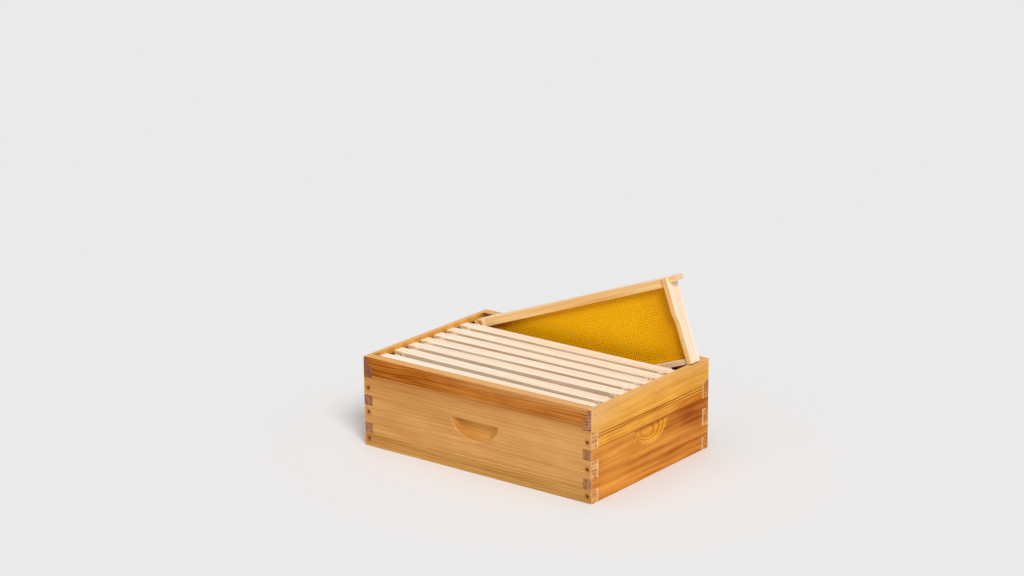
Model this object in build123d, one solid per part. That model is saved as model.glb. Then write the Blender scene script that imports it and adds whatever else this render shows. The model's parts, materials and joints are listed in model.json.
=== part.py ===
from build123d import *
import os
from math import asin, atan, atan2, degrees, hypot

# A honey super for eight frames: a finger-jointed box, open above and below, with wooden frames inside.
# X runs along the frames, Y across them and Z up. The origin is the middle of the box's lower edge.
# Seven frames hang by their lugs. The eighth is tipped up: its left lug is in the box, its right end on the rim.

# Frame sizes, in millimetres
frame_height = 158.75
top_bar_length = 482.6
top_bar_width = 27.0
top_bar_depth = 15.9
lug_depth = 9.5
neck_notch = 2.4
end_bar_thickness = 9.5
shoulder_step = 4.0
shoulder_height = 66.0
taper_height = 16.0
foot_step = 4.0
bevel_flat = 3.5
bottom_bar_width = 19.0
bottom_bar_depth = 9.5

# Foundation and the grooves that hold it
foundation_thickness = 3.0
groove_play = 0.2
top_groove = 6.0
bottom_groove = 3.0
foundation_end_play = 1.5
foundation_head_play = 1.0

# Box sizes
board = 19.05
rest_width = 9.5
lug_end_play = 1.6
left_lug_play = 0.5
end_space = 9.5
top_space = 6.4
bottom_space = 3.15

# Finger joint: heights of the fingers from the rim down, end board and long board in turn
finger_shares = (38.5, 33.0, 19.5, 33.0, 19.5, 24.8)

# Handhold: half of an oval bowl, straight above, and the wood left behind its deepest point. Its sections at some
# shares of its depth shrink with the root of the depth that is left, so its walls are steep and its floor is flat
hold_chord = 105.0
hold_height = 37.5
hold_drop = 72.0
hold_web = 6.0
hold_root = 4.0
hold_levels = (-0.1, 0.2, 0.45, 0.7, 0.88, 0.97)

# How the frames stand across the box, from the near board: the least room before each frame,
# and how far each one's ends stand off the straight line, left end away from the near board
frame_rooms = (0.7, 4.25, 3.8, 1.3, 0.6, 2.1, 1.0, 4.5)
frame_skews = (2.0, 4.3, 0.4, 0.6, 1.6, 1.6, 3.1, 0.0)
far_room = 5.25

# The tipped frame: how far its lug reaches over the rest, and its clearance from what it leans on
lug_bearing = 2.5
lean_play = 0.2

# Nails, with square shanks and faceted heads: widths, head thickness, length and how far the head is sunk
box_nail = dict(shank=2.6, head=5.6, head_thickness=1.0, length=45.0, sink=0.8)
rim_brad = dict(shank=1.5, head=2.4, head_thickness=0.8, length=28.0, sink=0.5)
frame_nail = dict(shank=1.5, head=2.6, head_thickness=0.7, length=28.0, sink=0.2)
nail_play = 0.1
nail_head_sides = 12
brad_drop = 9.0

# How far the box nails of the left and right corners stand off the middles of their fingers, from the rim down
box_nail_drifts = {-1: (-3.0, 4.0, 2.0), 1: (-4.0, 0.0, 0.0)}

# Sizes that follow from those above
lug_width = top_bar_width - 2 * neck_notch
shoulder_width = top_bar_width + 2 * shoulder_step
foot_width = shoulder_width - 2 * foot_step
groove_width = foundation_thickness + 2 * groove_play
box_length = top_bar_length + 2 * (lug_end_play + board - rest_width)
box_height = frame_height + top_space + bottom_space
rest_depth = top_space + lug_depth
rest_level = box_height - rest_depth
frame_span = box_length - 2 * (board + end_space)
frame_inside = frame_span - 2 * end_bar_thickness
frame_foot = lug_depth - frame_height
hold_depth = board - hold_web

LOW = (Align.CENTER, Align.CENTER, Align.MIN)
HIGH = (Align.CENTER, Align.CENTER, Align.MAX)


def frame_offsets():
    """Middle of each frame, measured from the inside of the near board, and the room inside the box."""
    offsets = []
    reach = 0.0
    last_skew = 0.0
    for room, skew in zip(frame_rooms, frame_skews):
        middle = reach + room + abs(skew - last_skew) + shoulder_width / 2
        offsets.append(middle)
        reach = middle + shoulder_width / 2
        last_skew = skew
    return offsets, reach + abs(last_skew) + far_room


offsets, box_inside = frame_offsets()
box_width = box_inside + 2 * board


def nail_form(size, play, above):
    """A nail pointing down, the top of its head at the origin, grown by a play and raised above its head."""
    head_outline = RegularPolygon(size["head"] / 2 + play, nail_head_sides)
    head = Pos(0, 0, -size["head_thickness"]) * extrude(head_outline, size["head_thickness"] + above)
    width = size["shank"] + 2 * play
    return head + Box(width, width, size["length"] + play, align=HIGH)


def nail(size):
    """A nail pointing down, with the top of its head at the origin."""
    return nail_form(size, 0, 0)


def nail_hole(size):
    """The hole that such a nail sits in, open above its sunk head."""
    return nail_form(size, nail_play, size["sink"])


def drilled(piece, size, places):
    """The piece with a hole for a nail at each of the places."""
    for place in places:
        piece -= place * nail_hole(size)
    return piece


def nails(size, places):
    """One group of separate nails, one at each of the places."""
    return Compound(children=[place * nail(size) for place in places])


def top_bar():
    """A bar that is thick between the end bars, thinner and narrower out to its lugs, grooved below."""
    underside = lug_depth - top_bar_depth
    lugs = Box(top_bar_length, lug_width, lug_depth, align=LOW)
    thick = Pos(0, 0, underside) * Box(frame_inside, top_bar_width, top_bar_depth, align=LOW)
    groove = Pos(0, 0, underside) * Box(frame_inside, groove_width, top_groove, align=LOW)
    return drilled(lugs + thick - groove, frame_nail, top_nail_places())


def end_bar(side):
    """A plate forked round the lug, with spacing shoulders, a narrow foot and one bevelled edge."""
    shoulder, foot, fork = shoulder_width / 2, foot_width / 2, lug_width / 2
    shoulder_end = lug_depth - shoulder_height
    foot_start = shoulder_end - taper_height
    outline = Polyline(
        (shoulder, lug_depth), (shoulder, shoulder_end), (foot, foot_start), (foot, frame_foot),
        (-foot, frame_foot), (-foot, foot_start), (-shoulder, shoulder_end), (-shoulder, lug_depth),
        (-fork, lug_depth), (-fork, 0), (fork, 0), (fork, lug_depth), close=True)
    inner_face = Plane.YZ.offset(frame_inside / 2)
    plate = extrude(make_face(inner_face * outline), end_bar_thickness, dir=(1, 0, 0))
    bevelled_edges = plate.edges().filter_by(Axis.Z).group_by(Axis.Y)[-1]
    plate = chamfer(bevelled_edges, (end_bar_thickness - bevel_flat) / 2)
    turned = Rot(0, 0, 0 if side > 0 else 180) * plate
    turned = drilled(turned, frame_nail, top_nail_places())
    return drilled(turned, frame_nail, bottom_nail_places())


def bottom_bar():
    """A flat bar between the feet of the end bars, grooved above."""
    bar = Pos(0, 0, frame_foot) * Box(frame_inside, bottom_bar_width, bottom_bar_depth, align=LOW)
    top = frame_foot + bottom_bar_depth
    groove = Pos(0, 0, top) * Box(frame_inside, groove_width, bottom_groove, align=HIGH)
    return drilled(bar - groove, frame_nail, bottom_nail_places())


def foundation():
    """The sheet that stands in the bottom bar's groove and reaches up into the top bar's."""
    low = frame_foot + bottom_bar_depth - bottom_groove
    high = lug_depth - top_bar_depth + top_groove - foundation_head_play
    length = frame_inside - 2 * foundation_end_play
    return Pos(0, 0, low) * Box(length, foundation_thickness, high - low, align=LOW)


def top_nail_places():
    """Down through each end of the top bar, into the end bar below."""
    middle = frame_span / 2 - end_bar_thickness / 2
    return [Pos(side * middle, 0, lug_depth - frame_nail["sink"]) for side in (-1, 1)]


def bottom_nail_places():
    """In through the foot of each end bar, into the bottom bar under its groove."""
    height = frame_foot + (bottom_bar_depth - bottom_groove) / 2
    face = frame_span / 2 - frame_nail["sink"]
    return [Pos(side * face, 0, height) * Rot(0, side * 90, 0) for side in (-1, 1)]


def frame_pieces():
    """The pieces of one frame, standing on the level of its lugs' undersides, middle at the origin."""
    return {
        "top_bar": top_bar(),
        "end_bar_left": end_bar(-1),
        "end_bar_right": end_bar(1),
        "bottom_bar": bottom_bar(),
        "foundation": foundation(),
        "nails": nails(frame_nail, top_nail_places() + bottom_nail_places()),
    }


def hanging_place(offset, skew):
    """Where a frame hangs: on both rests, pushed towards the left end and a little askew."""
    turn = -degrees(atan(skew / (frame_span / 2)))
    return Pos(left_lug_play - lug_end_play, offset - box_inside / 2, rest_level) * Rot(0, 0, turn)


def tipped_place(offset):
    """Where the tipped frame stands: left lug on its rest, underside on the inner edge of the right rim."""
    pivot_x = -(box_length / 2 - board) - lug_bearing
    pivot_z = rest_level + lean_play
    rim_x = box_length / 2 - board + rest_width
    run, rise = rim_x - pivot_x, box_height - pivot_z
    tilt = degrees(asin((lean_play - frame_foot) / hypot(run, rise)) + atan2(rise, run))
    print(f"tipped frame: pivot ({pivot_x:.2f}, {offset - box_inside / 2:.2f}, {pivot_z:.2f}), tilt {tilt:.2f}")
    lug_end = Pos(top_bar_length / 2, 0, 0)
    return Pos(pivot_x, offset - box_inside / 2, pivot_z) * Rot(0, -tilt, 0) * lug_end


def finger_bands():
    """Lower and upper height of each finger, from the rim down."""
    share = box_height / sum(finger_shares)
    bands = []
    upper = box_height
    for finger in finger_shares:
        bands.append((upper - finger * share, upper))
        upper -= finger * share
    return bands


end_bands = finger_bands()[0::2]
side_bands = finger_bands()[1::2]


def handhold():
    """Cutter for a handhold in a face that looks along +X: the lower half of an oval bowl.
    The middle of the handhold's straight edge is at the origin."""
    ovals = []
    for level in hold_levels:
        share = (1 - level) ** (1 / hold_root)
        oval = Plane.YZ * Ellipse(share * hold_chord / 2, share * hold_height)
        ovals.append(Pos(-level * hold_depth, 0, 0) * oval)
    lower_half = Box(2 * board, 2 * hold_chord, 2 * hold_height, align=HIGH)
    return loft(ovals) & lower_half


def end_board(side):
    """The board under the frames' lugs, with its fingers, its rest for the lugs and a handhold."""
    middle = box_length / 2 - board / 2
    plate = Pos(middle, 0, 0) * Box(board, box_inside, box_height, align=LOW)
    for low, high in end_bands:
        plate += Pos(middle, 0, low) * Box(board, box_width, high - low, align=LOW)
    rest_middle = box_length / 2 - board + rest_width / 2
    plate -= Pos(rest_middle, 0, rest_level) * Box(rest_width, box_width, rest_depth, align=LOW)
    plate -= Pos(box_length / 2, 0, box_height - hold_drop) * handhold()
    plate = Rot(0, 0, 0 if side > 0 else 180) * plate
    return drilled(drilled(plate, box_nail, box_nail_places()), rim_brad, rim_brad_places())


def side_board(side, end_boards):
    """The long board beside the frames, cut to take the fingers of both end boards."""
    plate = Pos(0, side * (box_width - board) / 2, 0) * Box(box_length, board, box_height, align=LOW)
    plate -= Pos(0, side * box_width / 2, box_height - hold_drop) * Rot(0, 0, side * 90) * handhold()
    for end in end_boards:
        plate -= end
    return drilled(drilled(plate, box_nail, box_nail_places()), rim_brad, rim_brad_places())


def box_nail_places():
    """Through every finger of the long boards, into the end boards."""
    along = box_length / 2 - board / 2
    face = box_width / 2 - box_nail["sink"]
    return [
        Pos(end * along, side * face, (low + high) / 2 + drift) * Rot(-side * 90, 0, 0)
        for end in (-1, 1) for side in (-1, 1) for (low, high), drift in zip(side_bands, box_nail_drifts[end])]


def rim_brad_places():
    """Through the end boards' top fingers, near the rim, into the long boards."""
    face = box_length / 2 - rim_brad["sink"]
    across = box_width / 2 - board / 2
    return [
        Pos(end * face, side * across, box_height - brad_drop) * Rot(0, end * 90, 0)
        for end in (-1, 1) for side in (-1, 1)]


def box_pieces():
    """The boards and nails of the box."""
    end_boards = [end_board(-1), end_board(1)]
    return {
        "end_board_left": end_boards[0],
        "end_board_right": end_boards[1],
        "side_board_near": side_board(-1, end_boards),
        "side_board_far": side_board(1, end_boards),
        "box_nails": nails(box_nail, box_nail_places()),
        "rim_brads": nails(rim_brad, rim_brad_places()),
    }


def super_pieces():
    """Every piece of the super, by name, where it stands."""
    pieces = box_pieces()
    frame = frame_pieces()
    places = [hanging_place(offset, skew) for offset, skew in zip(offsets[:-1], frame_skews[:-1])]
    places.append(tipped_place(offsets[-1]))
    for number, place in enumerate(places, start=1):
        for name, piece in frame.items():
            pieces[f"frame_{number}_{name}"] = place * piece
    return pieces


os.makedirs("parts", exist_ok=True)
for name, piece in super_pieces().items():
    export_step(piece, f"parts/{name}.step")
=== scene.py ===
import json
from collections import namedtuple
from math import cos, pi, radians, sin, sqrt

import bmesh
import bpy
from bpy.props import FloatProperty, FloatVectorProperty, PointerProperty
from mathutils import Matrix, Vector

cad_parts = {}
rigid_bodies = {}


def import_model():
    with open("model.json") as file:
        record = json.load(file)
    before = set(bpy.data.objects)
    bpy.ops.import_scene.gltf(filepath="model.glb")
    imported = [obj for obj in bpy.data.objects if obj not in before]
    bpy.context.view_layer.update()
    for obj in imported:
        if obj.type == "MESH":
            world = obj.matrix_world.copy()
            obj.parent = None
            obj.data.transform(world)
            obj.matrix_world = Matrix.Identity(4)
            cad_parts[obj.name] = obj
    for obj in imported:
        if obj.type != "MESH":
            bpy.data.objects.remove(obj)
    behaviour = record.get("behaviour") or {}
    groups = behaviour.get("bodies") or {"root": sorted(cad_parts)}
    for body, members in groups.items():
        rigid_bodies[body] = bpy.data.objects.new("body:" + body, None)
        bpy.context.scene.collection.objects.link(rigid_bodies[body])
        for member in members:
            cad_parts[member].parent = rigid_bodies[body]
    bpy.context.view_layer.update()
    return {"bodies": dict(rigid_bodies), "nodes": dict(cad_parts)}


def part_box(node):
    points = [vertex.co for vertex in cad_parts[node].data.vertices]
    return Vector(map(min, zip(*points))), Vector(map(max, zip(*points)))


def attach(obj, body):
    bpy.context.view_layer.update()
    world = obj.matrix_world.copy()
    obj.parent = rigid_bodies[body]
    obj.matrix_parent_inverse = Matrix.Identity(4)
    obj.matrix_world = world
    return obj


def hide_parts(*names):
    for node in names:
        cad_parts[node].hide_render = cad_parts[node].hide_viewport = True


bl_info = {
    "name": "Beehive super",
    "version": (1, 0, 0),
    "blender": (4, 5, 0),
    "location": "View3D > Sidebar > Super",
    "description": "Finishes a beehive super's boards, frames, foundation and nails, and sets its stage",
    "category": "Object",
}

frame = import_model()

# A millimetre in metres. Materials, and the measures that they use, are in millimetres
MM = 0.001

# The super's own measures, read from the frame, and how deep its frames' lugs are
BOX_LOW, BOX_HIGH = (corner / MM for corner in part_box("side_board_near"))
RIM = BOX_HIGH.z
BOARD = BOX_HIGH.y - BOX_LOW.y
HALF_LENGTH = (BOX_HIGH.x - BOX_LOW.x) / 2
HALF_WIDTH = -BOX_LOW.y
BAR_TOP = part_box("frame_1_top_bar")[1].z / MM
LUG_DEPTH = 9.5
REST_FLOOR = BAR_TOP - LUG_DEPTH

# The frames, the last of them tipped, and the bars of each one
FRAME_COUNT = len([name for name in frame["bodies"] if name != "box"])
FRAME_NUMBERS = range(1, FRAME_COUNT + 1)
TIPPED = FRAME_COUNT
BAR_NAMES = ("top_bar", "bottom_bar")
END_BAR_NAMES = ("end_bar_left", "end_bar_right")

X, Y, Z = range(3)


def srgb(red, green, blue):
    """A colour as a picture shows it, from 0 to 255, as the linear values that sockets take."""
    levels = (channel / 255 for channel in (red, green, blue))
    return tuple(
        level / 12.92 if level <= 0.04045 else ((level + 0.055) / 1.055) ** 2.4 for level in levels)


def colour(name, description, red, green, blue):
    """A colour that the user can change."""
    tone = srgb(red, green, blue)
    return FloatVectorProperty(
        name=name, description=description, default=tone, subtype="COLOR", min=0, max=1)


def length(name, description, millimetres):
    """A length that the user can change."""
    return FloatProperty(
        name=name, description=description, default=millimetres * MM, unit="LENGTH", min=0)


def share(name, description, default):
    """A share from 0 to 1 that the user can change."""
    return FloatProperty(
        name=name, description=description, default=default, subtype="FACTOR", min=0, max=1)


def angle(name, description, degrees):
    """An angle that the user can change."""
    return FloatProperty(
        name=name, description=description, default=radians(degrees), subtype="ANGLE")


class Wire:
    """A shader socket that takes part in Python sums. Each sum adds the node that works it out."""

    def __init__(self, graph, socket):
        self.graph = graph
        self.socket = socket

    def sum(self, operation, *terms):
        """A Math node, or a Vector Math node where a term is a vector or a colour."""
        wide = any(isinstance(term, Wire) and term.socket.type != "VALUE" for term in terms)
        kind = "ShaderNodeVectorMath" if wide else "ShaderNodeMath"
        if wide:
            terms = [term if isinstance(term, (Wire, tuple)) else (term,) * 3 for term in terms]
        return self.graph.node(kind, {"operation": operation}, dict(enumerate(terms)))

    def __add__(self, other):
        return self.sum("ADD", self, other)

    def __radd__(self, other):
        return self.sum("ADD", other, self)

    def __sub__(self, other):
        return self.sum("SUBTRACT", self, other)

    def __rsub__(self, other):
        return self.sum("SUBTRACT", other, self)

    def __mul__(self, other):
        return self.sum("MULTIPLY", self, other)

    def __rmul__(self, other):
        return self.sum("MULTIPLY", other, self)

    def __truediv__(self, other):
        return self.sum("DIVIDE", self, other)

    def __rtruediv__(self, other):
        return self.sum("DIVIDE", other, self)

    def __abs__(self):
        return self.sum("ABSOLUTE", self)

    def __lt__(self, other):
        return self.sum("LESS_THAN", self, other)

    def __gt__(self, other):
        return self.sum("GREATER_THAN", self, other)

    def root(self):
        return self.sum("SQRT", self)

    def floor(self):
        return self.sum("FLOOR", self)

    def fraction(self):
        return self.sum("FRACT", self)

    def exp(self):
        return self.sum("EXPONENT", self)

    def most(self, other):
        return self.sum("MAXIMUM", self, other)

    def smooth(self, low, high):
        """0 up to low, 1 from high on, and a smooth step between."""
        sockets = {"Value": self, "From Min": low, "From Max": high}
        return self.graph.node("ShaderNodeMapRange", {"interpolation_type": "SMOOTHSTEP"}, sockets)

    def split(self):
        """The three parts of a vector."""
        return [self.graph.node("ShaderNodeSeparateXYZ", {}, {0: self}, part) for part in (X, Y, Z)]


class Graph:
    """The nodes of one material, or of the world."""

    def __init__(self, tree):
        self.tree = tree
        tree.nodes.clear()

    def node(self, kind, settings, sockets, output=0):
        """A node of that kind, its settings made first, and then the values or links of its sockets."""
        node = self.tree.nodes.new(kind)
        for name, value in settings.items():
            setattr(node, name, value)
        for name, value in sockets.items():
            self.connect(node.inputs[name], value)
        return Wire(self, node.outputs[output]) if node.outputs else None

    def connect(self, socket, value):
        """Links a wire to a socket, or sets the socket's own value."""
        if isinstance(value, Wire):
            self.tree.links.new(value.socket, socket)
        elif socket.type == "RGBA":
            socket.default_value = (*value, 1)
        else:
            socket.default_value = value

    def mix(self, factor, first, second):
        """A colour between two colours, which are a Mix node's sockets 6 and 7 and its output 2."""
        return self.node("ShaderNodeMix", {"data_type": "RGBA"}, {0: factor, 6: first, 7: second}, 2)

    def noise(self, place, size, detail=2.0):
        """Smooth noise about 0 at a place of three values, with spots of the given size each way."""
        parts = {axis: place[axis] / size[axis] for axis in (X, Y, Z)}
        spread = self.node("ShaderNodeCombineXYZ", {}, parts)
        sockets = {"Vector": spread, "Scale": 1.0, "Detail": detail}
        return self.node("ShaderNodeTexNoise", {}, sockets) - 0.5

    def streaks(self, place, run, width, detail=1.0):
        """Noise about 0 in streaks along the grain, which is the first of the place's values."""
        return self.noise(place, (run, width, width), detail)

    def chance(self, value):
        """A chance number from 0 to 1 for each whole value."""
        return self.node("ShaderNodeTexWhiteNoise", {"noise_dimensions": "1D"}, {"W": value})

    def place(self, stand=None):
        """Where a point is, in millimetres, and which way its surface looks, each as three values, in the
        piece's own axes or in those of the given stand."""
        inside = self.node("ShaderNodeTexCoord", {}, {}, "Object")
        facing = self.node("ShaderNodeTexCoord", {}, {}, "Normal")
        if stand is not None:
            settings = {"vector_type": "TEXTURE"}
            turn = {"Rotation": stand.to_euler()}
            shift = {"Location": stand.translation}
            inside = self.node("ShaderNodeMapping", settings, {"Vector": inside, **shift, **turn})
            facing = self.node("ShaderNodeMapping", settings, {"Vector": facing, **turn})
        return (inside * (1 / MM)).split(), facing.split()

    def surface(self, sockets, height=None, depth=0.0):
        """The finished surface: a Principled shader, with a bump of the given depth."""
        if height is not None:
            relief = {"Strength": 1.0, "Distance": depth * MM, "Height": height}
            sockets = {**sockets, "Normal": self.node("ShaderNodeBump", {}, relief)}
        shader = self.node("ShaderNodeBsdfPrincipled", {}, sockets)
        self.node("ShaderNodeOutputMaterial", {}, {"Surface": shader})


def new_material(name):
    """An empty material and its graph."""
    material = bpy.data.materials.new(name)
    material.use_nodes = True
    return material, Graph(material.node_tree)


# Edges
WELD = 0.002 * MM  # how near two corners are that become one
SHARP = radians(40)  # how sharp an edge is that gets rounded
ARRIS_STEPS = 2  # in how many steps it is rounded


def dress(name, material, arris):
    """Gives a node its material, and rounds its edges."""
    node = frame["nodes"][name]
    node.data.materials.clear()
    node.data.materials.append(material)
    if arris:
        weld = node.modifiers.new("Weld", "WELD")
        weld.merge_threshold = WELD
        bevel = node.modifiers.new("Arris", "BEVEL")
        bevel.width = arris
        bevel.segments = ARRIS_STEPS
        bevel.limit_method = "ANGLE"
        bevel.angle_limit = SHARP
        bevel.harden_normals = True


class BoxLook(bpy.types.PropertyGroup):
    """Finish of the box's waxed boards."""
    heart_pale: colour(
        "Heartwood, pale", "Pale lines of the dark strip along a long board's rim", 212, 132, 48)
    heart_dark: colour("Heartwood, dark", "Dark lines of that strip", 150, 72, 2)
    brown: colour("Below the heartwood", "Long board just below its dark strip", 174, 106, 42)
    tan_pale: colour("Long board, pale", "Pale lines of the long boards' middle", 230, 173, 104)
    tan_dark: colour("Long board, dark", "Dark lines of the long boards' middle", 192, 130, 66)
    foot_pale: colour(
        "Long board's foot, pale", "Pale lines along the long boards' lower edge", 213, 161, 89)
    foot_dark: colour(
        "Long board's foot, dark", "Dark lines along the long boards' lower edge", 172, 114, 48)
    hold_pale: colour(
        "Long board's handhold, pale", "Pale lines in the bowl of a long board's handhold", 252, 193, 97)
    hold_dark: colour("Long board's handhold, dark", "Dark lines in that bowl", 216, 143, 58)
    gold_pale: colour(
        "End board's rim, pale", "Pale lines of the golden strip along an end board's rim", 248, 182, 72)
    gold_dark: colour("End board's rim, dark", "Dark lines of that strip", 214, 142, 40)
    honey_pale: colour(
        "End board's middle, pale", "Pale lines of the strip below the golden one", 246, 178, 70)
    honey_dark: colour("End board's middle, dark", "Dark lines of that strip", 196, 112, 16)
    amber_pale: colour("End board, pale", "Pale lines of the end boards' lower strip", 240, 162, 68)
    amber_dark: colour("End board, dark", "Dark lines of that strip", 154, 68, 0)
    # Also the colour of the painted shade in the handholds' bowls
    line_and_shade_dark: colour("Dark lines", "Thin dark lines along the boards' strips", 150, 82, 18)
    side_end_pale: colour("Long board's end, pale", "Sawn end of a long board", 244, 192, 128)
    side_end_dark: colour("Long board's end, dark", "Rings on that sawn end", 182, 110, 48)
    end_end_pale: colour("End board's end, pale", "Sawn end of an end board", 202, 148, 102)
    end_end_dark: colour("End board's end, dark", "Rings on that sawn end", 136, 86, 56)
    planed: colour("Planed edge", "Upper edges of the boards", 234, 182, 120)
    # Partly a painted highlight: along the box's upright corners it stands in for light catching the
    # rounded arrises
    worn_and_highlight: colour("Worn corner", "Pale wood along the box's corners and finger joints", 250, 222, 172)
    # Painted shade: the dark colour of the frame rests and of the box's inside corners, which lie in
    # shadow
    painted_shade: colour("Grime", "Dark dust in the corners of the frame rests", 84, 46, 20)
    arris: length("Arris", "How far the boards' edges are rounded", 0.5)
    roughness: share("Roughness", "How dull the wax is", 0.5)


class FrameLook(bpy.types.PropertyGroup):
    """Finish of the frames' bare bars."""
    face_pale: colour("Face, pale", "Planed upper and outer faces", 255, 241, 224)
    face_dark: colour("Face, dark", "Rings on those faces", 244, 212, 176)
    side_pale: colour("Side, pale", "Sawn sides", 243, 219, 190)
    side_dark: colour("Side, dark", "Rings on the sides", 219, 184, 145)
    warm_pale: colour(
        "Drawn frame's side, pale", "Sawn sides of the frame that is drawn out", 255, 214, 144)
    warm_dark: colour("Drawn frame's side, dark", "Rings on those sides", 236, 176, 106)
    end_tone: colour("Sawn end", "Sawn ends of the bars", 226, 182, 122)
    arris: length("Arris", "How far the bars' edges are rounded", 0.35)
    roughness: share("Roughness", "How dull the bare wood is", 0.62)


class FoundationLook(bpy.types.PropertyGroup):
    """Shape and finish of the moulded foundation."""
    cell: length("Cell", "Width of a cell across its flats", 5.3)
    web: length("Web", "Thickness left under the middle of two cells", 1.3)
    floor_share: share("Cell floor", "Width of a cell's floor, as a share of the cell", 0.78)
    pale: colour("Wall", "Colour of the cells' walls", 255, 198, 14)
    deep: colour("Floor", "Colour in the cells, where the wax is thicker", 246, 180, 6)
    # Painted shade: it darkens the cells' upward flanks against the light from above, most of all low on
    # the sheet, where the cell floors lie in shade
    painted_cell_shade: colour(
        "Settled wax", "Colour of the cells' upward flanks, where wax and dust settle", 118, 64, 0)
    ends: colour("Ends", "Colour towards the ends of the sheet, where the wax is older", 220, 136, 0)
    roughness: share("Roughness", "How dull the waxed plastic is", 0.42)


class NailLook(bpy.types.PropertyGroup):
    """Finish of the nails."""
    bright: colour("Bright steel", "Steel wire of the frames' nails", 176, 158, 138)
    dull: colour("Dull steel", "Steel wire of the box's nails", 112, 50, 8)
    rust: colour("Rust", "Stain on the steel, and in the wood round it", 122, 56, 8)
    stain: length("Stain", "How far rust stains the wood from the middle of a nail in the box", 4.3)
    roughness: share("Roughness", "How dull the steel is", 0.45)


class StageLook(bpy.types.PropertyGroup):
    """Floor, lamps and camera."""
    backdrop: colour("Backdrop", "Plain pale floor and background", 234, 234, 234)
    floor_size: FloatProperty(
        name="Floor", description="Width of the floor", default=60.0, unit="LENGTH", min=1)
    sky: share("Sky", "Even light from all sides", 0.36)
    key: share("Key", "Light of the key lamp, as a share of white", 0.68)
    fill: share("Fill", "Light of the fill lamp, as a share of white", 0.20)
    key_softness: angle("Key softness", "Width of the key lamp as the super sees it", 20)
    fill_softness: angle("Fill softness", "Width of the fill lamp as the super sees it", 60)
    azimuth: angle("Azimuth", "Direction of the camera, from the near side towards the right end", 37.65)
    elevation: angle("Elevation", "Height of the camera over the floor", 16.52)
    roll: angle("Roll", "Lean of the camera about its own axis", -0.42)
    distance: FloatProperty(
        name="Distance", description="From the camera to its target",
        default=4.7754, unit="LENGTH", min=0.1)
    target: FloatVectorProperty(
        name="Target", description="Point in the middle of the picture",
        default=(-0.0522, 0.0, 0.2878), subtype="TRANSLATION")
    lens: FloatProperty(name="Lens", description="Focal length in millimetres", default=94.05, min=1)
    sensor: FloatProperty(
        name="Sensor", description="Width of the sensor in millimetres", default=36.0, min=1)


# Yearly rings
SLOW_WAVE = 210, 52  # run and width of their slow waves
QUICK_WAVE = 60, 9  # and of their quick ones
QUICK_SHARE = 0.4  # how far a quick wave moves a ring, as a share of the rings' pitch
LATEWOOD_GROWS = 0.25, 0.86  # part of a year in which its dark latewood grows
LATEWOOD_STOPS = 0.9, 1.0  # and in which it stops
PALEST_YEAR = 0.45  # how strong the palest year is

# Streaks
STREAKS = (330, 15), (250, 6), (160, 2.8), (60, 0.9)  # run and width, from broad to thread-like ones
THREAD_SHARE = 0.5  # how much the thread-like ones count among the fine ones
DASHES = 26, 0.8  # run and width of short dashes
DASH_LEVELS = 0.17, 0.27  # levels of noise that make a dash
DASH_SHARE = 0.22  # how much dashes count among the fine streaks

# How squarely a face looks one way: where that starts to show, and where it is full
ENDWAYS = 0.6, 0.8  # along the grain
SIDEWAYS = 0.5, 0.8  # to a bar's side
UPWARDS = 0.7, 0.9


def grain(graph, place, pith_up, pith_depth, pitch, wander, bulge=0.0):
    """How far a point is into a ring's dark latewood, by how strong that year is. The rings lie round a
    pith that runs along the wood."""
    _, up, depth = place
    slow = graph.streaks(place, *SLOW_WAVE, detail=1.5)
    quick = graph.streaks(place, *QUICK_WAVE)
    across = up - pith_up + slow * wander
    inward = depth - pith_depth
    radius = (across * across + inward * inward).root() + quick * pitch * QUICK_SHARE + bulge
    rings = radius / pitch
    year = rings.fraction()
    late = year.smooth(*LATEWOOD_GROWS) - year.smooth(*LATEWOOD_STOPS)
    return late * (graph.chance(rings.floor()) * (1 - PALEST_YEAR) + PALEST_YEAR)


def fibres(graph, place):
    """Streaks along the grain, about 0: broad ones, and fine ones among them."""
    broad, middling, fine, thread = (graph.streaks(place, *size) for size in STREAKS)
    dashes = graph.streaks(place, *DASHES, detail=0.0).smooth(*DASH_LEVELS)
    return broad + middling, fine + thread * THREAD_SHARE + dashes * DASH_SHARE


# A strip that a board is glued from: its lower edge, the height and depth of its pith, the pitch and the
# contrast of its rings, the contrast of its streaks and of its soft figure, its two tones, and how far it
# melts into the strip below towards the right
Strip = namedtuple(
    "Strip", "lower pith_up pith_depth pitch rings streaks figure pale dark melt", defaults=(0.0,))

# A kind of board: the axis of its grain, its strips from the rim down, its thin dark lines, the tones of
# its sawn ends and of its handhold, the slant of its glue lines, and the strength and reach of the crown
# of bleached wax under its rim
BoardKind = namedtuple("BoardKind", "axis strips lines ends hold slant crown crown_reach")

# Where a point of a board lies: along the board's own grain, up, inward from the board's outer face, along
# the box's axis, and inward from the box's ends and from its long sides
Point = namedtuple("Point", "along up inward run to_end to_side")

# Each spot below has its place along and up a board, its reach along and up, and its depth. Here the wood
# is darker, or paler with a depth below 0
PATCHES = {
    "side_board_near": [(-230, 150, 190, 40, 0.2), (230, 70, 120, 60, -0.12), (238, 150, 24, 20, 0.3)],
    "side_board_far": [(120, 150, 160, 40, 0.25)],
    "end_board_left": [(-60, 60, 70, 20, 0.3)],
    "end_board_right": [(122, 90, 70, 19, 0.52), (145, 61, 48, 15, 0.42), (-120, 24, 70, 26, -0.3),
                        (140, 140, 60, 26, 0.25), (-110, 72, 60, 22, -0.2)],
}

# Here the rings bulge in a handhold, by so many millimetres
SWIRLS = {"end_board_right": [(5, 75, 28, 16, -6)]}

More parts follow.
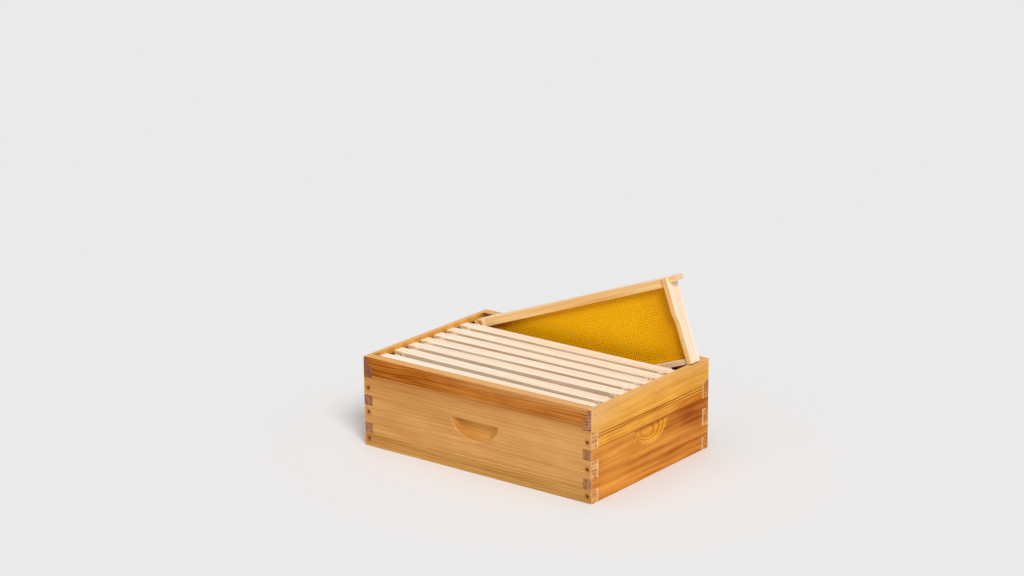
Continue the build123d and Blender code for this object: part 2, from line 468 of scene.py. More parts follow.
# Here a handhold's bowl gets painted shade, under its ledge and on the wall that looks away from the light
HOLD_SHADE_SPOTS = {
    "side_board_near": [(-42, 76, 24, 22, 0.5), (-10, 62, 34, 13, 0.4), (43, 68, 13, 20, 0.5)],
    "side_board_far": [(-34, 72, 22, 24, 0.45)],
    "end_board_left": [(-30, 72, 22, 24, 0.4)],
}

# Here the wax is bleached
BLEACHED = {"end_board_right": [(-178, 150, 72, 20, 0.5)]}

# Here the sawn ends are darker
END_STAINS = {
    "side_board_far": [(252, 115, 40, 22, 0.6), (252, 68, 40, 12, 0.5), (252, 12, 40, 14, 0.5)],
    "end_board_left": [(-178, 160, 30, 75, 0.5)],
}

# Thin dark lines along the boards: height, half of the width, and depth of tone
SIDE_LINES = [(134.0, 0.8, 0.5), (30.0, 0.5, 0.5), (25.0, 0.6, 0.55), (110.0, 0.5, 0.15)]
END_LINES = [
    (121.0, 0.9, 1.0), (116.0, 0.8, 0.9), (112.5, 0.6, 0.4), (146.0, 0.7, 0.3), (97.0, 0.6, 0.4)]

# Those lines
FADE_RUN = 110  # run over which one fades
FADE_LEVELS = -0.35, -0.05  # levels of noise that fade it
LINE_EDGE = 0.5, 1.6  # its soft edge, in half widths

# The boards' numbers, which set their grain
FIRST_BOARD = 2
BOARD_SHIFT = 137.0  # how far each number shifts the grain along

# Glue lines
GLUE_WAVE = 240, 80, 1  # run and height of the waves in them, and a wave for each board
GLUE_LIFT = 2.5  # how far the waves lift them
CRISP_GLUE = 0.3  # half width of a crisp one
PALE_GLUE = 0.5, 1.1  # half width of a pale one, within and beyond its soft edge
PALE_GLUE_DEPTH = 0.5
MELTING = -140.0, 60.0  # stretch along a board where its strips begin to melt into each other

# The brown below a long board's dark strip
BROWN_REACH = 7.0  # how far down it fades
BROWN_DEPTH = 0.75

# A handhold's bowl
BOWL_STARTS = 0.3, 2.5  # depths at which it starts
BOWL_ENDS = 14.0, 15.0  # and ends
BOWL_TONE = 0.65  # how much of its own tone it has
SWIRL_RINGS = 0.45  # how much stronger the rings are in a bowl with a swirl

# A board's depth of tone
BOARD_WANDER = 22.0  # how far its rings wander
EVEN_LATEWOOD = 0.3  # latewood that makes no difference to it
FINE_SHARE = 0.55  # how much fine streaks count beside broad ones
FIGURE_SIZE = 60, 22, 30  # run, height and depth of its soft figure
MIDDLE_TONE = 0.5

# Sawn ends of the boards
PORES = 6, 1.6  # run and width of their pores
CLOUD_SIZE = 40, 12, 7  # run, height and depth of their clouds
RING_SHARE, PORE_SHARE, CLOUD_SHARE = 0.58, 0.6, 1.4  # how much rings, pores and clouds count
SAWN_TONE = 0.4  # their depth of tone without these
WORN_INSIDE = 13.0, 18.0  # depth in a long board at which they are worn
WORN_DEPTH = 0.45

# How far in from a board's outer face rust and bleached wax go
RUST_SKIN = 1.5
BLEACHED_SKIN = 1.0

# Nail heads
HEAD_FACE = 0.1  # depth of their outer face
HEAD_SPACING = 10.0  # least distance between two of them

# Frame rests
REST_DEPTH = BOARD / 4  # depth in an end board from which they lie inside
REST_FROM = REST_FLOOR - 2.0  # height from which they get painted shade
REST_WALL = BAR_TOP - 5.0, BAR_TOP - 2.0  # height at which the paler wall above them starts
# How much painted shade the rests get, and how much paler the wall above them is
REST_SHADE, REST_PALENESS = 0.9, 0.2

# Corners of the box
WEAR_RUN = 22  # height of a stretch of pale wear and painted highlight
WEAR_LEVELS = -0.3, 0.3  # levels of noise that make one
WEAR_WIDTH = 0.6, 2.6  # distance from the edge at which the wear and painted highlight end
WEAR_DEPTH = 0.5
INSIDE_ENDS, INSIDE_SIDES = 0.4 * BOARD, BOARD - 1.0  # distance from both from which a corner is inside
CORNER_SHADE = 1.5 * BOARD, 3.2 * BOARD  # distance from the edge at which the painted shade inside ends
CORNER_SHADE_DEPTH = 0.4

# Wax over the boards
PLANED_DEPTH = 0.65  # how much of the planed tone the upper edges have
BLEACHED_DEPTH = 0.95  # how far bleached wax hides the wood
BLEACHED_STREAKS = 1.4  # how far streaks show in it
STREAK_DULLNESS, RING_SHINE = 0.18, 0.06  # how much duller streaks are, and how much shinier latewood
RING_RELIEF, BOARD_RELIEF = 0.4, 0.12  # height of latewood beside streaks, and depth of all relief
BOARD_GLOSS = 0.04


def by_strip(below, values):
    """The value of each strip of a board, from the rim down. Each mask is 1 below a glue line."""
    value = values[0]
    for mask, last, following in zip(below, values, values[1:]):
        value = mask * (following - last) + value
    return value


def tone_by_strip(graph, below, tones):
    """The colour of each strip of a board, from the rim down."""
    tone = tones[0]
    for mask, following in zip(below, tones[1:]):
        tone = graph.mix(mask, tone, following)
    return tone


def spotted(point, spots):
    """How deep a point of a board lies in the given spots."""
    total = 0.0
    for spot_along, spot_up, reach_along, reach_up, depth in spots:
        run = (point.run - spot_along) / reach_along
        climb = (point.up - spot_up) / reach_up
        total = ((run * run + climb * climb) * -1.0).exp() * depth + total
    return total


def dark_lines(graph, along, height, lines):
    """How dark the thin lines along a board are. Each one fades and comes back on its way."""
    total = 0.0
    for line, half_width, depth in lines:
        fade = graph.noise((along, line, 0.0), (FADE_RUN, 1, 1), detail=1.0).smooth(*FADE_LEVELS)
        beside = abs(height - line).smooth(*(half_width * edge for edge in LINE_EDGE))
        total = total + (1.0 - beside) * fade * depth
    return total


def board_point(place, axis, seed, side):
    """Where a point of a board lies, on the positive or negative side of the box."""
    outer = HALF_WIDTH if axis == X else HALF_LENGTH
    return Point(
        along=place[axis] + BOARD_SHIFT * seed,
        up=place[Z],
        inward=outer - place[Y if axis == X else X] * side,
        run=place[axis],
        to_end=HALF_LENGTH - abs(place[X]),
        to_side=HALF_WIDTH - abs(place[Y]))


def nail_heads(name, side):
    """Middles of the nail heads that look out of one long side of the box, along and up."""
    corners = [corner.co / MM for corner in frame["nodes"][name].data.vertices]
    face = max(abs(corner.y) for corner in corners) - HEAD_FACE
    heads = []
    for corner in corners:
        if corner.y * side < face:
            continue
        for head in heads:
            if (head[0] - corner).length < HEAD_SPACING:
                head.append(corner)
                break
        else:
            heads.append([corner])
    middles = [sum(head, Vector()) / len(head) for head in heads]
    return [(middle.x, middle.z) for middle in middles]


def nail_stains(graph, wood, point, side, nails):
    """Rust in the wood round the box's nails, on the outer face of a long board."""
    reach = nails.stain / MM
    spots = [(run, up, reach, reach, 1.0) for run, up in nail_heads("box_nails", side)]
    return graph.mix(spotted(point, spots) * (point.inward < RUST_SKIN), wood, nails.rust)


def melted(run):
    """How far along a board its strips melt into each other: 0 at the left, 1 at the right."""
    return run.smooth(*MELTING)


def below_strip(height, run, strip):
    """1 below a strip's lower edge."""
    if not strip.melt:
        return height < strip.lower
    return ((strip.lower - height) / (melted(run) * strip.melt + CRISP_GLUE)).smooth(-1.0, 1.0)


def brown_below(graph, wood, height, run, strips, brown):
    """A brown that fades below the first glue line, and the pale glue line itself."""
    under = strips[0].lower - height
    fade = (under.most(0.0) / -BROWN_REACH).exp() * (under > 0.0) * BROWN_DEPTH
    wood = graph.mix(fade, wood, brown)
    glue = (1.0 - abs(under).smooth(*PALE_GLUE)) * (1.0 - melted(run))
    return graph.mix(glue * PALE_GLUE_DEPTH, wood, strips[1].pale)


def board_figure(graph, name, point, below, strips, carved):
    """A board's latewood, its fine streaks, and the depth of tone that they and its patches give it."""
    pith_up, pith_depth, pitch, rings, streaks, figure = (
        by_strip(below, [getattr(strip, column) for strip in strips])
        for column in ("pith_up", "pith_depth", "pitch", "rings", "streaks", "figure"))
    swirl = spotted(point, SWIRLS.get(name, [])) * carved
    place = point[:3]
    late = grain(graph, place, pith_up, pith_depth, pitch, BOARD_WANDER, swirl)
    broad, fine = fibres(graph, place)
    soft = graph.noise(place, FIGURE_SIZE)
    if name in SWIRLS:
        rings = rings + carved * SWIRL_RINGS
    tone = (late - EVEN_LATEWOOD) * rings + broad * streaks + fine * streaks * FINE_SHARE + soft * figure
    return late, fine, tone + MIDDLE_TONE + spotted(point, PATCHES[name])


def sawn_wood(graph, point, late, tones, stains):
    """The sawn ends of a board: its rings, its pores, and stains."""
    pores = graph.streaks(point[:3], *PORES)
    cloud = graph.noise(point[:3], CLOUD_SIZE, detail=1.0)
    tone = late * RING_SHARE + pores * PORE_SHARE + cloud * CLOUD_SHARE + SAWN_TONE
    return graph.mix(tone + spotted(point, stains), *tones)


def bleached_wax(point, kind, spots):
    """How far the wax of a board's outer face is bleached: in spots, and in a crown under the rim. A long
    board's crown grows to the right, as its strips melt into each other."""
    crown = melted(point.run) * kind.crown if kind.axis == X else kind.crown
    under_rim = ((point.up - RIM) / kind.crown_reach).exp() * crown
    return (under_rim + spotted(point, spots)) * (point.inward < BLEACHED_SKIN)


def shaded_rest(graph, wood, point, look):
    """Painted shade on an end board's frame rest, where the lugs shadow it, and paler wood on the wall
    above it.
    """
    inside = (point.inward > REST_DEPTH) * (point.to_side > BOARD)
    above = point.up.smooth(*REST_WALL)
    rest = inside * (point.up > REST_FROM)
    # Painted shade on the rest, below the paler wall
    wood = graph.mix(rest * (1.0 - above) * REST_SHADE, wood, look.painted_shade)
    return graph.mix(rest * above * REST_PALENESS, wood, look.planed)


def corner_wear_highlight_and_shade(graph, wood, point, seed, look):
    """Pale wear and a painted highlight along the box's upright edges, and painted shade in its inside
    corners.
    """
    to_corner = point.to_end + point.to_side
    wear_and_highlight = graph.noise((point.up, seed, 0.0), (WEAR_RUN, 1, 1)).smooth(*WEAR_LEVELS) * WEAR_DEPTH
    # Pale wear and painted highlight along the upright edges
    wood = graph.mix((1.0 - to_corner.smooth(*WEAR_WIDTH)) * wear_and_highlight, wood, look.worn_and_highlight)
    # Painted shade in the box's inside corners
    inside = (point.to_end > INSIDE_ENDS) * (point.to_side > INSIDE_SIDES)
    near = 1.0 - to_corner.smooth(*CORNER_SHADE)
    return graph.mix(inside * near * CORNER_SHADE_DEPTH, wood, look.painted_shade)


def waxed_board(name, seed, side, kind, look, nails):
    """A waxed board glued from strips of its own grain."""
    material, graph = new_material(name)
    place, facing = graph.place()
    point = board_point(place, kind.axis, seed, side)
    along, up, inward, run = point[:4]
    lift = graph.noise((along, up, seed), GLUE_WAVE, detail=1.0) * GLUE_LIFT
    height = up + lift - run * kind.slant
    below = [below_strip(height, run, strip) for strip in kind.strips[:-1]]
    carved = inward.smooth(*BOWL_STARTS) - inward.smooth(*BOWL_ENDS)
    late, fine, tone = board_figure(graph, name, point, below, kind.strips, carved)
    pale = tone_by_strip(graph, below, [strip.pale for strip in kind.strips])
    dark = tone_by_strip(graph, below, [strip.dark for strip in kind.strips])
    wood = graph.mix(tone, pale, dark)
    wood = graph.mix(carved * BOWL_TONE, wood, graph.mix(tone, *kind.hold))
    # Painted shade in the handhold's bowl
    wood = graph.mix(spotted(point, HOLD_SHADE_SPOTS.get(name, [])) * carved, wood, look.line_and_shade_dark)
    wood = graph.mix(dark_lines(graph, along, height, kind.lines), wood, look.line_and_shade_dark)
    end_wood = sawn_wood(graph, point, late, kind.ends, END_STAINS.get(name, []))
    if kind.axis == X:
        wood = brown_below(graph, wood, height, run, kind.strips, look.brown)
        wood = nail_stains(graph, wood, point, side, nails)
        end_wood = graph.mix(inward.smooth(*WORN_INSIDE) * WORN_DEPTH, end_wood, look.worn_and_highlight)
    wood = graph.mix(abs(facing[kind.axis]).smooth(*ENDWAYS), wood, end_wood)
    wood = graph.mix(facing[Z].smooth(*UPWARDS) * PLANED_DEPTH, wood, look.planed)
    bleached = bleached_wax(point, kind, BLEACHED.get(name, []))
    wood = graph.mix(bleached * (BLEACHED_DEPTH - fine * BLEACHED_STREAKS), wood, look.planed)
    if kind.axis == Y:
        wood = shaded_rest(graph, wood, point, look)
    wood = corner_wear_highlight_and_shade(graph, wood, point, seed, look)
    roughness = look.roughness + fine * STREAK_DULLNESS - late * RING_SHINE
    sockets = {"Base Color": wood, "Roughness": roughness, "Specular IOR Level": BOARD_GLOSS}
    graph.surface(sockets, late * RING_RELIEF + fine, BOARD_RELIEF)
    return material


class HIVE_OT_finish_boards(bpy.types.Operator):
    """Waxes the four boards, each glued from strips of its own grain"""
    bl_idname = "hive.finish_boards"
    bl_label = "Finish the boards"

    def execute(self, context):
        look = context.scene.super_box
        heart, tan_wood, foot, hold, gold, honey, amber, side_ends, end_ends = (
            (tuple(getattr(look, tone + "_pale")), tuple(getattr(look, tone + "_dark")))
            for tone in (
                "heart", "tan", "foot", "hold", "gold", "honey", "amber", "side_end", "end_end"))
        side_strips = [
            Strip(RIM - 32.5, RIM + 190, 30.0, 4.6, 0.55, 1.1, 0.8, *heart, melt=5.0),
            Strip(24.0, -240.0, -60.0, 7.0, 0.25, 0.75, 0.5, *tan_wood),
            Strip(0.0, -140.0, 40.0, 4.4, 0.6, 1.3, 0.3, *foot),
        ]
        end_strips = [
            Strip(RIM - 47.0, RIM + 150, 60.0, 5.2, 0.45, 1.2, 1.2, *gold),
            Strip(RIM - 70.0, RIM + 160, 90.0, 6.0, 0.5, 1.5, 1.0, *honey),
            Strip(0.0, 74.0, 150.0, 4.4, 0.25, 0.7, 0.5, *amber),
        ]
        side_board = BoardKind(
            X, side_strips, SIDE_LINES, side_ends, hold, slant=0.009, crown=0.5, crown_reach=9.0)
        end_board = BoardKind(
            Y, end_strips, END_LINES, end_ends, gold, slant=0.0, crown=0.6, crown_reach=18.0)
        boards = [
            ("side_board_near", -1.0, side_board),
            ("side_board_far", 1.0, side_board),
            ("end_board_left", -1.0, end_board),
            ("end_board_right", 1.0, end_board),
        ]
        for seed, (name, side, kind) in enumerate(boards, start=FIRST_BOARD):
            board = waxed_board(name, seed, side, kind, look, context.scene.super_nails)
            dress(name, board, look.arris)
        return {"FINISHED"}


# Grain of the bars
FRAME_SHIFT = 211.0  # how far it is shifted along from frame to frame
UPPER_SHIFT = 97.0  # and in the upper bar, or an end bar's upper half
RIGHT_SHIFT = 53.0  # and in the right end bar
LEAN_COSINE, LEAN_SINE = 0.8, 0.6  # of the angle that the rings lean by
BAR_PITH, PITH_STEP = 60.0, 9.0  # height of the pith, and its step from frame to frame
BAR_PITH_DEPTH = 30.0
BAR_PITCH = 3.6  # distance between rings
BAR_WANDER = 12.0  # how far the rings wander

# Finish of the bars
BAR_RINGS, BAR_BROAD, BAR_FINE = 0.45, 1.5, 0.6  # how much rings, broad and fine streaks count
LEVEL_TONE, UPRIGHT_TONE = 0.24, 0.39  # depth of tone of level and upright bars without these
WARM_BELOW = 0.45  # how warm the sides of the drawn frame's bottom bar are
SAWN_DEPTH = 0.7  # how much of the sawn ends' tone shows
BAR_DULLNESS = 0.2  # how much duller streaks are
BAR_RING_RELIEF, BAR_RELIEF = 0.3, 0.1  # height of latewood beside streaks, and depth of all relief
BAR_GLOSS = 0.3


def frame_place(number):
    """Where a frame stands: the matrix to the super's axes from its own, which start at its middle."""
    left, right = (sum(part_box(f"frame_{number}_{bar}"), Vector()) / 2 for bar in END_BAR_NAMES)
    along = (right - left).normalized()
    across = Vector((0, 0, 1)).cross(along).normalized()
    up = along.cross(across)
    turn = Matrix((along, across, up)).transposed().to_4x4()
    return Matrix.Translation((left + right) / 2) @ turn


def bare_pine(name, look, number, upright):
    """Bare pine of one frame's bars, with the grain along the bar: level, or upright in the end bars."""
    material, graph = new_material(name)
    (x, y, z), facing = graph.place(frame_place(number))
    along, up = (z, x) if upright else (x, z)
    shift = number * FRAME_SHIFT + (z > 0.0) * UPPER_SHIFT
    if upright:
        shift = shift + (x > 0.0) * RIGHT_SHIFT
    along = along + shift
    leaning = (along, y * LEAN_COSINE + up * LEAN_SINE, up * LEAN_COSINE - y * LEAN_SINE)
    late = grain(graph, leaning, BAR_PITH + PITH_STEP * number, BAR_PITH_DEPTH, BAR_PITCH, BAR_WANDER)
    broad, fine = fibres(graph, (along, y, up))
    tone = late * BAR_RINGS + broad * BAR_BROAD + fine * BAR_FINE
    tone = tone + (UPRIGHT_TONE if upright else LEVEL_TONE)
    face = graph.mix(tone, look.face_pale, look.face_dark)
    if number == TIPPED:
        warm = 1.0 if upright else (z > 0.0) * (1 - WARM_BELOW) + WARM_BELOW
        sides = graph.mix(warm, face, graph.mix(tone, look.warm_pale, look.warm_dark))
    else:
        sides = graph.mix(tone, look.side_pale, look.side_dark)
    wood = graph.mix(abs(facing[Y]).smooth(*SIDEWAYS), face, sides)
    sawn_end = abs(facing[Z if upright else X]).smooth(*ENDWAYS)
    wood = graph.mix(sawn_end * SAWN_DEPTH, wood, look.end_tone)
    roughness = look.roughness + fine * BAR_DULLNESS
    sockets = {"Base Color": wood, "Roughness": roughness, "Specular IOR Level": BAR_GLOSS}
    graph.surface(sockets, late * BAR_RING_RELIEF + fine, BAR_RELIEF)
    return material


class HIVE_OT_finish_frames(bpy.types.Operator):
    """Finishes the bars of every frame in bare pine"""
    bl_idname = "hive.finish_frames"
    bl_label = "Finish the frames"

    def execute(self, context):
        look = context.scene.super_frames
        for number in FRAME_NUMBERS:
            level = bare_pine(f"pine_level_{number}", look, number, False)
            upright = bare_pine(f"pine_upright_{number}", look, number, True)
            for bar in BAR_NAMES:
                dress(f"frame_{number}_{bar}", level, look.arris)
            for bar in END_BAR_NAMES:
                dress(f"frame_{number}_{bar}", upright, look.arris)
        return {"FINISHED"}


# Cells of the foundation
FLOOR_RISE = 0.2  # rise of a floor's edge over its middle, as a share of the wall
SPARE_CELLS = 3  # cells beyond the sheet's size, before it is cut
SAME_PARTS = 100  # parts of a cell's radius, one of which is too small to tell two corners apart
CUT_SLACK = 1e-7  # how near a corner is to a cut that lies on it, in metres

# Wax and painted shade on the foundation
WALL_COLOUR = 0.6, 1.4  # distance from the sheet's middle plane at which the wall's colour shows
OLDER_WAX = 110.0, 215.0  # distance from the sheet's middle at which older wax shows
OLDER_DEPTH = 0.5
CELL_SHADE_UP_TO = -6.0, 40.0  # height up to which the cells get painted shade
CELL_SHADE_SLOPE = 0.37  # fall of that height along the sheet, so that it is level on the drawn frame
CELL_SHADE_EVENLY = 0.03  # how much painted shade the cells get higher up
SHADED_FLANK = 0.05, 0.5  # how far upwards a flank looks that gets painted shade
WAX_CLOUD = 60, 1, 40  # size of clouds in it each way
WAX_CLOUD_DEPTH, WAX_CLOUD_DULLNESS = 0.6, 0.15  # how much they count in tone and dullness
GRIT = 0.8, 0.8, 0.8  # size of its grit
GRIT_DULLNESS, GRIT_RELIEF = 0.1, 0.03
WAX_GLOSS = 0.1


def foundation_size():
    """Length, thickness and height of a foundation sheet, from a hanging frame and the tipped one."""
    low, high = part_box(f"frame_{TIPPED}_foundation")
    thickness = high.y - low.y
    low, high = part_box("frame_1_foundation")
    along = frame_place(1).col[0]
    return (high.x - low.x - thickness * abs(along.y)) / along.x, thickness, high.z - low.z


def cell_face(look, size):
    """One side of the sheet: hexagonal cells with two upright walls, over a little more than its size."""
    sheet_length, thickness, sheet_height = size
    radius = look.cell / sqrt(3)
    row_pitch = 1.5 * radius
    crest = thickness / 2
    floor = look.web / 2
    edge = floor + FLOOR_RISE * (crest - floor)
    columns = int(sheet_length / look.cell) + SPARE_CELLS
    rows = int(sheet_height / row_pitch) + SPARE_CELLS
    turns = [pi / 6 + corner * pi / 3 for corner in range(6)]
    points, faces, known = [], [], {}

    def corner_at(x, y, z):
        key = tuple(round(part * SAME_PARTS) for part in (x / radius, y / crest, z / radius))
        if key not in known:
            known[key] = len(points)
            points.append((x, y, z))
        return known[key]

    def ring(x, y, z, reach):
        return [corner_at(x + reach * cos(turn), y, z + reach * sin(turn)) for turn in turns]

    for row in range(rows):
        for column in range(columns):
            x = (column + row % 2 / 2 - columns / 2) * look.cell
            z = (row - rows / 2 + 0.5) * row_pitch
            outer = ring(x, crest, z, radius)
            inner = ring(x, edge, z, look.floor_share * radius)
            middle = corner_at(x, floor, z)
            for corner in range(6):
                following = (corner + 1) % 6
                faces.append((outer[corner], inner[corner], inner[following], outer[following]))
                faces.append((inner[corner], middle, inner[following]))
    return points, faces


def cell_sheet(look):
    """The whole sheet as one closed mesh: both sides cut to size, and joined round the edge."""
    size = foundation_size()
    shape = bmesh.new()
    points, faces = cell_face(look, size)
    corners = [shape.verts.new(point) for point in points]
    for face in faces:
        shape.faces.new([corners[corner] for corner in face])
    for way, reach in ((Vector((1, 0, 0)), size[0] / 2), (Vector((0, 0, 1)), size[2] / 2)):
        for side in (way, -way):
            whole = [*shape.verts, *shape.edges, *shape.faces]
            bmesh.ops.bisect_plane(
                shape, geom=whole, plane_co=side * reach, plane_no=side, dist=CUT_SLACK, clear_outer=True)
    rim = [edge for edge in shape.edges if edge.is_boundary]
    one_side = list(shape.faces)
    other = {}
    for corner in list(shape.verts):
        x, y, z = corner.co
        other[corner] = shape.verts.new((x, -y, z))
    for face in one_side:
        shape.faces.new([other[corner] for corner in reversed(face.verts)])
    for edge in rim:
        first, second = edge.verts
        shape.faces.new((first, second, other[second], other[first]))
    bmesh.ops.recalc_face_normals(shape, faces=list(shape.faces))
    mesh = bpy.data.meshes.new("foundation_cells")
    shape.to_mesh(mesh)
    shape.free()
    mesh.shade_smooth()
    return mesh


def waxed_plastic(look):
    """Moulded amber plastic with a coat of wax, deeper in the cells."""
    material, graph = new_material("waxed_plastic")
    (x, y, z), facing = graph.place()
    crest = abs(y).smooth(*WALL_COLOUR)
    cloud = graph.noise((x, y, z), WAX_CLOUD)
    tone = graph.mix((crest + cloud * WAX_CLOUD_DEPTH).smooth(0.0, 1.0), look.deep, look.pale)
    tone = graph.mix(abs(x).smooth(*OLDER_WAX) * OLDER_DEPTH, tone, look.ends)
    # Painted shade on the cells' upward flanks, strongest low on the sheet where it goes into the box
    painted_cell_shade = 1.0 - (z + x * CELL_SHADE_SLOPE).smooth(*CELL_SHADE_UP_TO) * (1 - CELL_SHADE_EVENLY)
    tone = graph.mix(facing[Z].smooth(*SHADED_FLANK) * painted_cell_shade, tone, look.painted_cell_shade)
    grit = graph.noise((x, y, z), GRIT)
    roughness = look.roughness + cloud * WAX_CLOUD_DULLNESS + grit * GRIT_DULLNESS
    sockets = {"Base Color": tone, "Roughness": roughness, "Specular IOR Level": WAX_GLOSS}
    graph.surface(sockets, grit, GRIT_RELIEF)
    return material


class HIVE_OT_mould_foundation(bpy.types.Operator):
    """Moulds a sheet of hexagonal cells for each frame"""
    bl_idname = "hive.mould_foundation"
    bl_label = "Mould the foundation"

    def execute(self, context):
        look = context.scene.super_foundation
        mesh = cell_sheet(look)
        mesh.materials.append(waxed_plastic(look))
        low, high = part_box("frame_1_foundation")
        drop = Matrix.Translation((0, 0, (low.z + high.z) / 2 - frame_place(1).translation.z))
        for number in FRAME_NUMBERS:
            sheet = bpy.data.objects.new(f"foundation_{number}", mesh)
            context.scene.collection.objects.link(sheet)
            sheet.matrix_world = frame_place(number) @ drop
            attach(sheet, f"frame_{number}")
            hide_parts(f"frame_{number}_foundation")
        return {"FINISHED"}


# Rust on the nails
RUST_SPOT = 1.4, 1.4, 1.4  # size of its spots
RUST_LEVELS = -0.1, 0.25  # levels of noise that make a spot
RUST_DULLNESS = 0.4  # how much duller it is than steel
STEEL_SHINE = 0.7  # how metallic clean steel is
STEEL_GLOSS, RUST_GLOSS = 0.5, 0.1
BOX_RUST, FRAME_RUST = 1.0, 0.3  # how much of the box's and the frames' nails it covers


def drawn_steel(name, look, wire, rusted):
    """Steel wire of the given tone, with rust on the given share of it."""
    material, graph = new_material(name)
    place, _ = graph.place()
    stain = graph.noise(place, RUST_SPOT, detail=3.0).smooth(*RUST_LEVELS) * rusted
    graph.surface({
        "Base Color": graph.mix(stain, wire, look.rust),
        "Metallic": STEEL_SHINE * (1 - rusted),
        "Roughness": look.roughness + stain * RUST_DULLNESS,
        "Specular IOR Level": STEEL_GLOSS + (RUST_GLOSS - STEEL_GLOSS) * rusted,
    })
    return material


class HIVE_OT_set_nails(bpy.types.Operator):
    """Finishes the nails of the box and of the frames"""
    bl_idname = "hive.set_nails"
    bl_label = "Finish the nails"

    def execute(self, context):
        look = context.scene.super_nails
        dull = drawn_steel("dull_steel", look, look.dull, BOX_RUST)
        bright = drawn_steel("bright_steel", look, look.bright, FRAME_RUST)
        for name in ("box_nails", "rim_brads"):
            dress(name, dull, 0)
        for number in FRAME_NUMBERS:
            dress(f"frame_{number}_nails", bright, 0)
        return {"FINISHED"}


# Light on the stage
KEY_FROM = Vector((0.60, -0.45, 0.66))  # where the key lamp's light comes from
FILL_FROM = Vector((-0.12, -0.10, 0.99))  # and the fill lamp's
SHADOW_FADES = 700.0, 1600.0  # distance from the super's middle over which its shadow fades


def plain_rays(graph):
    """1 for the rays that see the backdrop: the camera's, and those that mirror it or pass through."""
    rays = ("Is Camera Ray", "Is Glossy Ray", "Is Transmission Ray")
    seen = [graph.node("ShaderNodeLightPath", {}, {}, ray) for ray in rays]
    return seen[0].most(seen[1]).most(seen[2])


def pale_floor(look):
    """The floor: pale and dull, with the super's shadow near it and the plain backdrop farther off."""
    half = look.floor_size / 2
    corners = [(-half, -half, 0), (half, -half, 0), (half, half, 0), (-half, half, 0)]
    mesh = bpy.data.meshes.new("floor")
    mesh.from_pydata(corners, [], [(0, 1, 2, 3)])
    floor = bpy.data.objects.new("floor", mesh)
    bpy.context.scene.collection.objects.link(floor)
    material, graph = new_material("pale_floor")
    (x, y, _), _ = graph.place()
    far = (x * x + y * y).root().smooth(*SHADOW_FADES)
    near_floor = graph.node("ShaderNodeBsdfDiffuse", {}, {"Color": look.backdrop})
    backdrop = graph.node("ShaderNodeEmission", {}, {"Color": look.backdrop, "Strength": 1.0})
    sockets = {0: far * plain_rays(graph), 1: near_floor, 2: backdrop}
    both = graph.node("ShaderNodeMixShader", {}, sockets)
    graph.node("ShaderNodeOutputMaterial", {}, {"Surface": both})
    mesh.materials.append(material)


def even_sky(look):
    """Even light from all sides, in front of the plain backdrop."""
    world = bpy.data.worlds.new("sky")
    bpy.context.scene.world = world
    world.use_nodes = True
    graph = Graph(world.node_tree)
    light = graph.node("ShaderNodeBackground", {}, {"Color": (1, 1, 1), "Strength": look.sky})
    backdrop = graph.node("ShaderNodeBackground", {}, {"Color": look.backdrop, "Strength": 1.0})
    both = graph.node("ShaderNodeMixShader", {}, {0: plain_rays(graph), 1: light, 2: backdrop})
    graph.node("ShaderNodeOutputWorld", {}, {"Surface": both})


def lamp(name, source, light, softness):
    """A far, soft lamp that gives the same light everywhere."""
    sun = bpy.data.lights.new(name, "SUN")
    sun.energy = light * pi
    sun.angle = softness
    holder = bpy.data.objects.new(name, sun)
    holder.rotation_euler = source.to_track_quat("Z", "Y").to_euler()
    bpy.context.scene.collection.objects.link(holder)


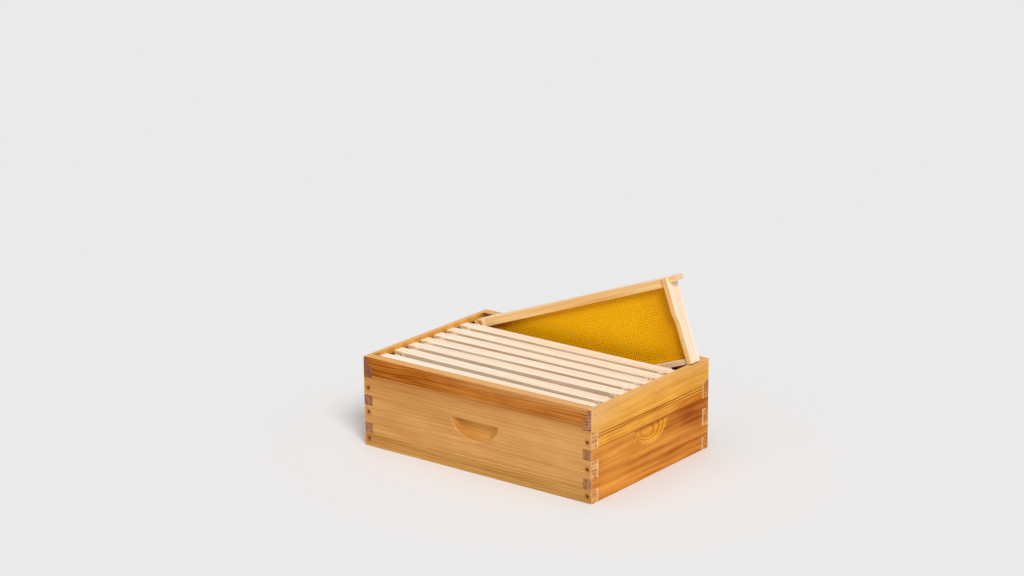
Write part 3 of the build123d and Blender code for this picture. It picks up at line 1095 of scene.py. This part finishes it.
def add_camera(look):
    """A camera that looks at the target from the given direction and distance."""
    right = Vector((cos(look.azimuth), sin(look.azimuth), 0))
    level = Vector((sin(look.azimuth), -cos(look.azimuth), 0))
    back = level * cos(look.elevation) + Vector((0, 0, sin(look.elevation)))
    up = back.cross(right)
    lens = bpy.data.cameras.new("camera")
    lens.sensor_fit = "HORIZONTAL"
    lens.sensor_width = look.sensor
    lens.lens = look.lens
    lens.clip_end = 2 * look.floor_size
    camera = bpy.data.objects.new("camera", lens)
    turn = Matrix((right, up, back)).transposed() @ Matrix.Rotation(look.roll, 3, "Z")
    camera.matrix_world = Matrix.Translation(Vector(look.target) + back * look.distance) @ turn.to_4x4()
    bpy.context.scene.collection.objects.link(camera)
    bpy.context.scene.camera = camera


class HIVE_OT_set_stage(bpy.types.Operator):
    """Lays the floor, hangs the lamps and places the camera"""
    bl_idname = "hive.set_stage"
    bl_label = "Set the stage"

    def execute(self, context):
        look = context.scene.super_stage
        pale_floor(look)
        even_sky(look)
        lamp("key", KEY_FROM, look.key, look.key_softness)
        lamp("fill", FILL_FROM, look.fill, look.fill_softness)
        add_camera(look)
        context.scene.view_settings.view_transform = "Standard"
        return {"FINISHED"}


# Panel and steps, in order

LOOKS = {
    "super_box": BoxLook,
    "super_frames": FrameLook,
    "super_foundation": FoundationLook,
    "super_nails": NailLook,
    "super_stage": StageLook,
}
STEPS = {
    HIVE_OT_finish_boards: "super_box",
    HIVE_OT_finish_frames: "super_frames",
    HIVE_OT_mould_foundation: "super_foundation",
    HIVE_OT_set_nails: "super_nails",
    HIVE_OT_set_stage: "super_stage",
}


class HIVE_PT_panel(bpy.types.Panel):
    """Each step of the super, with the sizes and colours that it uses"""
    bl_idname = "HIVE_PT_panel"
    bl_label = "Beehive super"
    bl_space_type = "VIEW_3D"
    bl_region_type = "UI"
    bl_category = "Super"

    def draw(self, context):
        for step, name in STEPS.items():
            box = self.layout.box()
            box.operator(step.bl_idname)
            for setting in LOOKS[name].__annotations__:
                box.prop(getattr(context.scene, name), setting)


CLASSES = (*LOOKS.values(), *STEPS, HIVE_PT_panel)


def register():
    for each in CLASSES:
        bpy.utils.register_class(each)
    for name, look in LOOKS.items():
        setattr(bpy.types.Scene, name, PointerProperty(type=look))


def unregister():
    for name in LOOKS:
        delattr(bpy.types.Scene, name)
    for each in reversed(CLASSES):
        bpy.utils.unregister_class(each)


def main():
    register()
    bpy.ops.hive.finish_boards()
    bpy.ops.hive.finish_frames()
    bpy.ops.hive.mould_foundation()
    bpy.ops.hive.set_nails()
    bpy.ops.hive.set_stage()


if __name__ == "__main__":
    main()
